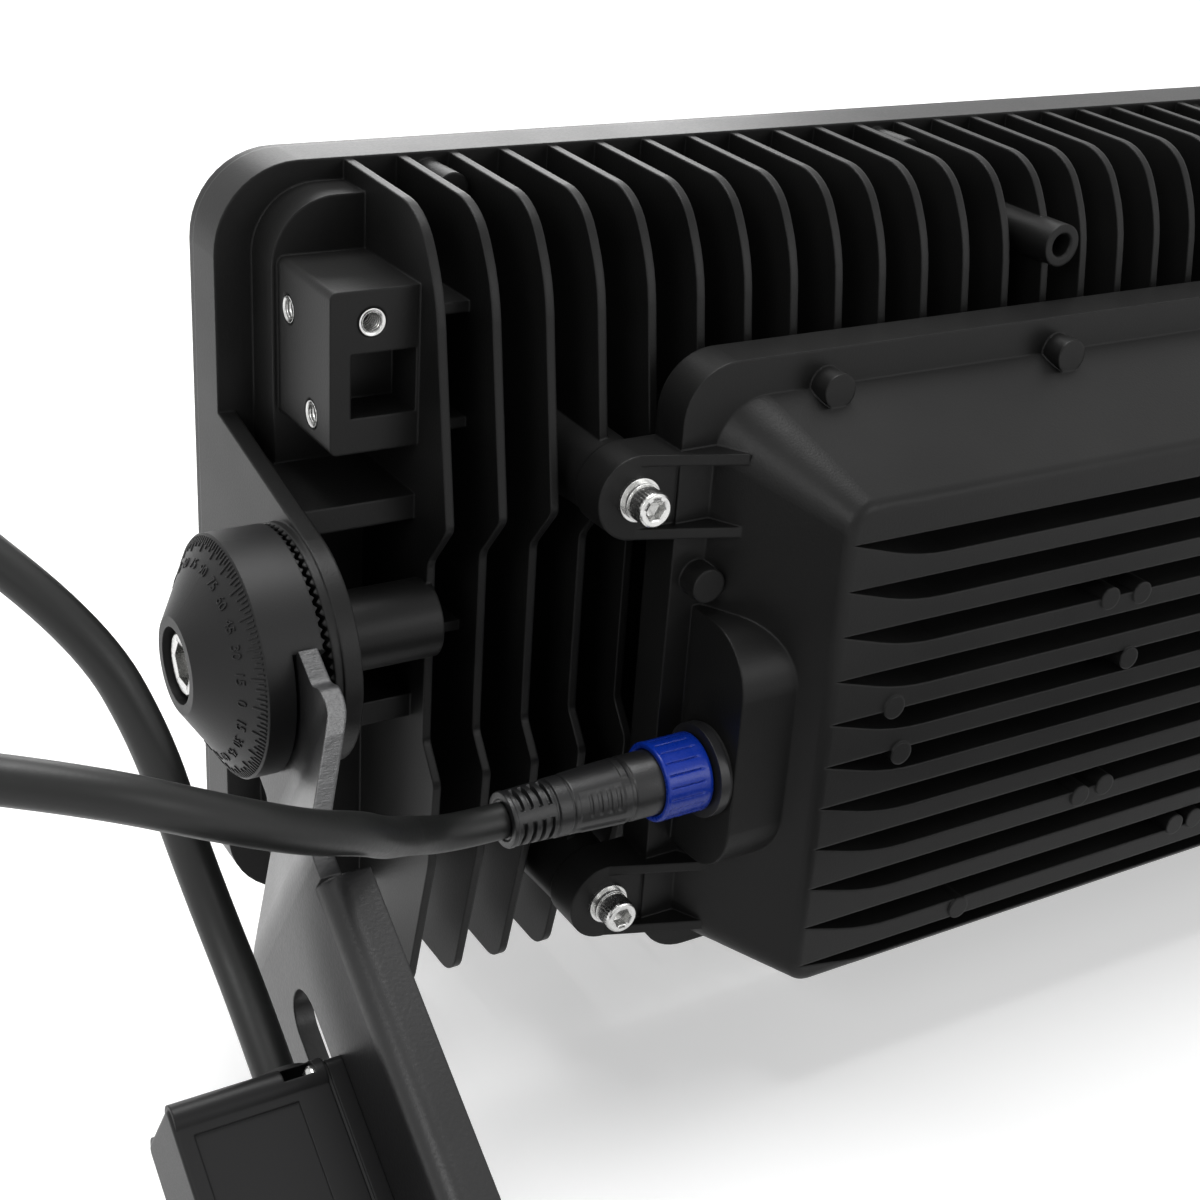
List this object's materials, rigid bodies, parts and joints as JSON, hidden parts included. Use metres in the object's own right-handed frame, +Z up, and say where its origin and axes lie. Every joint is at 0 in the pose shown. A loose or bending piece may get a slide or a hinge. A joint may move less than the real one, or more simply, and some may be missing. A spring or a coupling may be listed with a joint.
{
  "type": "floodlight",
  "caption": "LED floodlight with a finned die-cast head, a rear driver box, a steel yoke with toothed angle dials, and a junction box with a slack cable.",
  "frame": {"origin": "middle of the large hole in the yoke's base, on the base's outer face, where the lamp is bolted down", "axes": "+X along the tilt axis, +Y the way the light shines with the front face upright, +Z up; the yoke slopes back and down at 32.5 degrees to the horizontal"},
  "size_m": [0.8286, 0.2828, 0.2616],
  "materials": {
    "cast_black": "satin",
    "coated_steel": "satin",
    "stainless": "satin",
    "lens": "gloss",
    "circuit": "satin",
    "white_board": "satin",
    "phosphor": "matte",
    "soft_seal": "matte",
    "black_rubber": "matte",
    "black_plastic": "satin",
    "blue_plastic": "satin",
    "white_plastic": "satin",
    "brass": "satin",
    "ferrite": "matte",
    "wire_sleeve": "satin"
  },
  "bodies": {
    "yoke": {"yoke": "coated_steel", "dial_left": "cast_black", "dial_right": "cast_black", "thrust_washers": "white_plastic", "junction_box_base": "cast_black", "junction_box_gasket": "black_rubber", "junction_box_cover": "cast_black", "junction_box_screws": "stainless", "box_mount_screws": "stainless", "box_mount_nuts": "stainless", "terminal_block": "white_plastic", "terminal_screws": "brass", "cable_grommet": "black_rubber", "supply_gland_body": "black_plastic", "supply_gland_nut": "black_plastic", "lamp_cable": "black_rubber"},
    "lamp_head": {"heatsink_housing": "cast_black", "thermal_pads": "soft_seal", "led_boards": "white_board", "led_chips": "phosphor", "lens_seals": "black_rubber", "lens_panels": "lens", "front_bezel": "cast_black", "bezel_screws": "stainless", "thread_inserts": "brass", "driver_housing": "cast_black", "driver_base_plate": "coated_steel", "driver_seal": "black_rubber", "base_plate_screws": "stainless", "driver_circuit_board": "circuit", "board_screws": "stainless", "driver_transformers": "ferrite", "driver_capacitors": "black_plastic", "driver_chokes": "ferrite", "lug_flat_washers": "stainless", "lug_spring_washers": "stainless", "lug_screws": "stainless", "lead_sleeve": "black_rubber", "led_leads": "wire_sleeve", "panel_socket": "black_plastic", "socket_seal": "black_rubber", "socket_nut": "black_plastic", "socket_contacts": "brass", "plug_body": "black_rubber", "pivot_bolts": "stainless", "pivot_washers": "stainless"},
    "lock_ring": {"lock_ring": "blue_plastic"}
  },
  "joints": [
    {"name": "tilt", "type": "hinge", "parent": "yoke", "child": "lamp_head", "pos_m": [0, 0.18976, 0.12089], "axis": [1, 0, 0], "range_deg": [-60, 60], "deforming": ["lamp_cable"]},
    {"name": "lock_ring_turn", "type": "hinge", "parent": "lamp_head", "child": "lock_ring", "pos_m": [-0.192, 0.14876, 0.07889], "axis": [1, 0, 0], "range_deg": [0, 45]}
  ]
}
